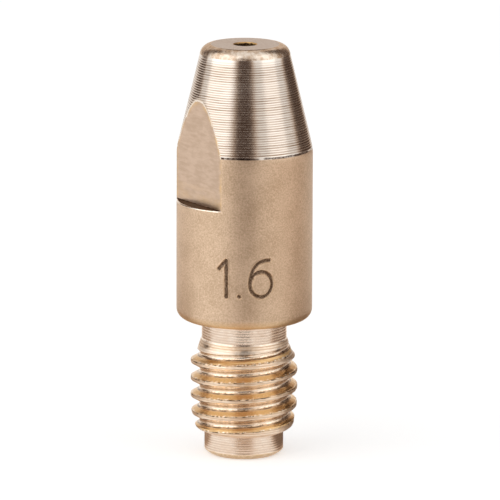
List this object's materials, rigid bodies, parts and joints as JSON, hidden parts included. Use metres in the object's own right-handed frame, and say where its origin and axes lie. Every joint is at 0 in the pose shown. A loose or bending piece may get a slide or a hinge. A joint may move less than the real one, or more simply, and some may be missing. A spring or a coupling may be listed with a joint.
{
  "type": "welding contact tip",
  "caption": "Threaded contact tip with a conical nose, wrench flats and a through bore that guides welding wire and passes current to it.",
  "frame": {"origin": "centre of the threaded end's face, on the axis of the bore", "axes": "+Z along the axis from the threaded end to the nose; the wrench flats face -X and +X"},
  "size_m": [0.0098, 0.0098, 0.03],
  "materials": {
    "copper_alloy": "pale copper alloy: tumbled satin body and flats, fine turned nose, bright thread"
  },
  "bodies": {
    "root": {"contact_tip": "copper_alloy"}
  },
  "joints": []
}
